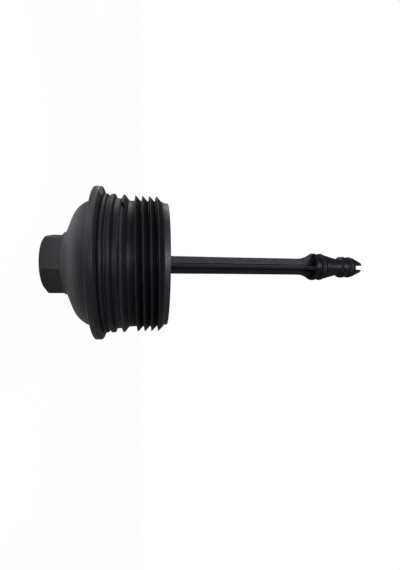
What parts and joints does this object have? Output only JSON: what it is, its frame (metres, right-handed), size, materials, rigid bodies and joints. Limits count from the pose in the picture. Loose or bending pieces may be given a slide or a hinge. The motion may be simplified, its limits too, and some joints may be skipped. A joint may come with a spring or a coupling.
{
  "type": "oil filter housing cap",
  "caption": "Screw-in cap for an oil filter housing: hexagon drive, domed flange with cover seal, buttress thread, and a long ribbed drain stem with two small seals and a forked tip.",
  "frame": {"origin": "centre of the hexagon's flat end face, which the cap stands on", "axes": "+Z runs along the axis from the hexagon towards the mouth and the stem's tip; a hexagon corner points along -Y"},
  "size_m": [0.0904, 0.0904, 0.2036],
  "materials": {
    "cap_plastic": "satin black glass-filled moulding",
    "stem_plastic": "satin black moulding",
    "seal_rubber": "smooth black rubber"
  },
  "bodies": {
    "cap": {"cap_body": "cap_plastic", "cover_seal_ring": "seal_rubber"},
    "stem": {"centre_stem": "stem_plastic", "upper_stem_seal": "seal_rubber", "lower_stem_seal": "seal_rubber"}
  },
  "joints": [
    {"name": "stem_swivel", "type": "hinge", "parent": "cap", "child": "stem", "pos_m": [0, 0, 0.016], "axis": [0, 0, 1], "continuous": true}
  ]
}
